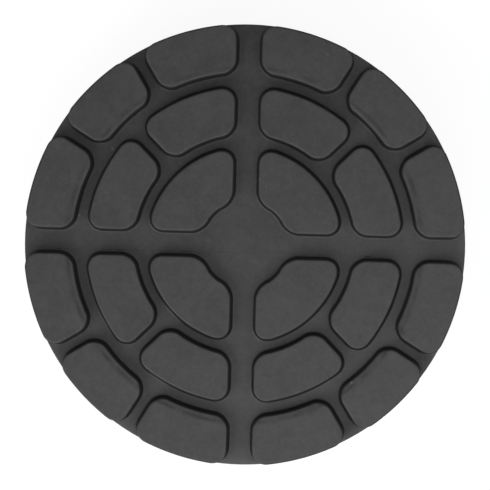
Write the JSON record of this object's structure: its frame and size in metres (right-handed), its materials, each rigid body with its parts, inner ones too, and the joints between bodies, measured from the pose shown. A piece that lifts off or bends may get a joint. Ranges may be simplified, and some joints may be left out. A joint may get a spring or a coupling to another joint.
{
  "type": "rubber lift pad",
  "caption": "Round rubber pad with a tread of rounded blocks in three rings on top, and a recess beneath that slips over a lift arm's plate.",
  "frame": {"origin": "centre of the rim that the pad stands on, on the pad's axis", "axes": "+Z along the pad's axis towards the tread; +X and +Y along two arms of the cross of wide grooves"},
  "size_m": [0.13, 0.13, 0.025],
  "materials": {
    "rubber": "matt moulded rubber"
  },
  "bodies": {
    "root": {"lift_pad": "rubber"}
  },
  "joints": []
}
